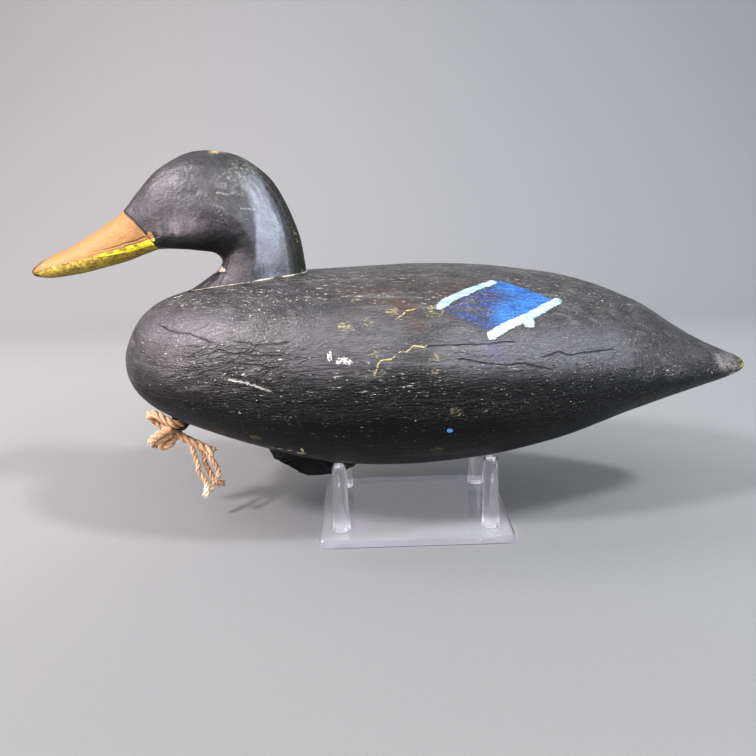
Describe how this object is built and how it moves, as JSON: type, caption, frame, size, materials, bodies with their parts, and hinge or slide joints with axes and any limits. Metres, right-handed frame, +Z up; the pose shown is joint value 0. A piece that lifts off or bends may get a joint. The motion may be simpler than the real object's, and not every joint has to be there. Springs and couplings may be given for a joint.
{
  "type": "black duck decoy on a peg stand",
  "caption": "Hand-carved and painted wooden black duck decoy with ballast weight and rope end, resting on a clear peg stand.",
  "frame": {"origin": "centre of the stand plate's underside, on the surface that the stand is placed on", "axes": "+X along the duck from bill to tail, +Y towards its right side, away from the pictured side, +Z up"},
  "size_m": [0.4268, 0.16, 0.228],
  "materials": {
    "black_painted_wood": "aged satin black paint over weathered wood",
    "ballast_metal": "cast ballast metal, painted black",
    "tie_strap": "old strap, painted over black",
    "jute_rope": "twisted natural fibre, frayed",
    "clear_acrylic": "clear polished acrylic"
  },
  "bodies": {
    "root": {"body": "black_painted_wood", "head": "black_painted_wood", "keel_weight": "ballast_metal", "line_tie": "tie_strap", "rope_knot": "jute_rope", "rope_tail": "jute_rope", "rope_strand_1": "jute_rope", "rope_strand_2": "jute_rope", "rope_strand_3": "jute_rope", "stand_plate": "clear_acrylic", "stand_peg_1": "clear_acrylic", "stand_peg_2": "clear_acrylic", "stand_peg_3": "clear_acrylic", "stand_peg_4": "clear_acrylic"}
  },
  "joints": []
}
